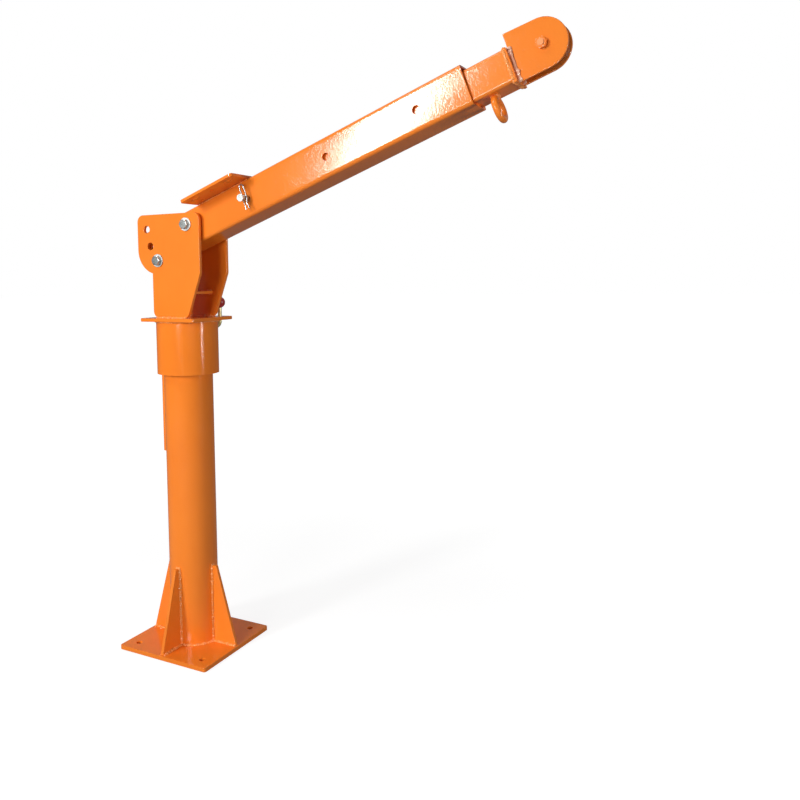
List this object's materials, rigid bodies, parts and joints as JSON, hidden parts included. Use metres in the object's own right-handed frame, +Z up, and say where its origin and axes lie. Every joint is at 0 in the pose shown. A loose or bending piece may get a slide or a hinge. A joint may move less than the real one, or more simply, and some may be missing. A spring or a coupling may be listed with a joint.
{
  "type": "swivelling loading crane",
  "caption": "Bolt-down loading crane for a vehicle bed, with a slewing head, a luffing telescopic boom and a sheave head.",
  "frame": {"origin": "centre of the base plate's underside, on the mast axis", "axes": "+Z up along the mast, +X towards the boom's head at rest, +Y to the left of the boom"},
  "size_m": [1.0097, 0.267, 1.3297],
  "materials": {
    "orange_paint": "gloss orange enamel over steel",
    "zinc_plate": "bright zinc plating",
    "yellow_zinc": "yellow passivated zinc",
    "bronze": "machined bearing bronze",
    "nylon": "natural nylon",
    "red_knob": "gloss red ball"
  },
  "bodies": {
    "mast_base": {"base_plate": "orange_paint", "base_gussets": "orange_paint", "mast_tube": "orange_paint", "mast_cap": "orange_paint"},
    "slewing_head": {"thrust_pad": "bronze", "sleeve": "orange_paint", "guide_rings": "nylon", "sleeve_flange": "orange_paint", "cheek_plate_near": "orange_paint", "cheek_plate_far": "orange_paint", "cheek_stiffener": "orange_paint", "pivot_bolt": "zinc_plate", "pivot_washers": "zinc_plate", "pivot_spacers": "zinc_plate", "pivot_nut": "zinc_plate", "luff_lock_bolt": "zinc_plate", "luff_lock_washers": "zinc_plate", "luff_lock_nut": "zinc_plate", "lock_boss": "orange_paint", "handle_lug": "orange_paint", "handle_bolt": "zinc_plate", "handle_nut": "zinc_plate"},
    "lock_lever": {"lock_screw": "yellow_zinc", "lever_ball": "red_knob"},
    "handle": {"slew_handle": "orange_paint", "handle_end_caps": "orange_paint"},
    "boom": {"outer_boom": "orange_paint", "pivot_bush": "zinc_plate", "winch_plate": "orange_paint", "extension_pin": "zinc_plate", "extension_clip": "zinc_plate"},
    "extension": {"inner_boom": "orange_paint", "head_end_plate": "orange_paint", "head_cheek_near": "orange_paint", "head_cheek_far": "orange_paint", "eye_ring": "orange_paint", "sheave_bolt": "orange_paint", "sheave_nut": "orange_paint", "sheave_spacers": "zinc_plate"},
    "sheave_wheel": {"sheave": "zinc_plate", "sheave_bush": "bronze"}
  },
  "joints": [
    {"name": "slew", "type": "hinge", "parent": "mast_base", "child": "slewing_head", "pos_m": [0, 0, 0.7], "axis": [0, 0, 1], "continuous": true},
    {"name": "luff", "type": "hinge", "parent": "slewing_head", "child": "boom", "pos_m": [0.047, 0, 0.994], "axis": [0, -1, 0], "range_deg": [-88, 0]},
    {"name": "telescope", "type": "slide", "parent": "boom", "child": "extension", "axis": [0.9397, 0, 0.342], "range_m": [0, 0.424]},
    {"name": "sheave_spin", "type": "hinge", "parent": "extension", "child": "sheave_wheel", "pos_m": [0.83724, 0, 1.28322], "axis": [0, 1, 0], "continuous": true},
    {"name": "lock_turn", "type": "hinge", "parent": "slewing_head", "child": "lock_lever", "pos_m": [0, 0.1, 0.754], "axis": [0, 1, 0], "range_deg": [0, 360]},
    {"name": "handle_swing", "type": "hinge", "parent": "slewing_head", "child": "handle", "pos_m": [-0.08983, 0.02407, 0.706], "axis": [0.2588, 0.9659, 0], "range_deg": [-5, 100]}
  ]
}
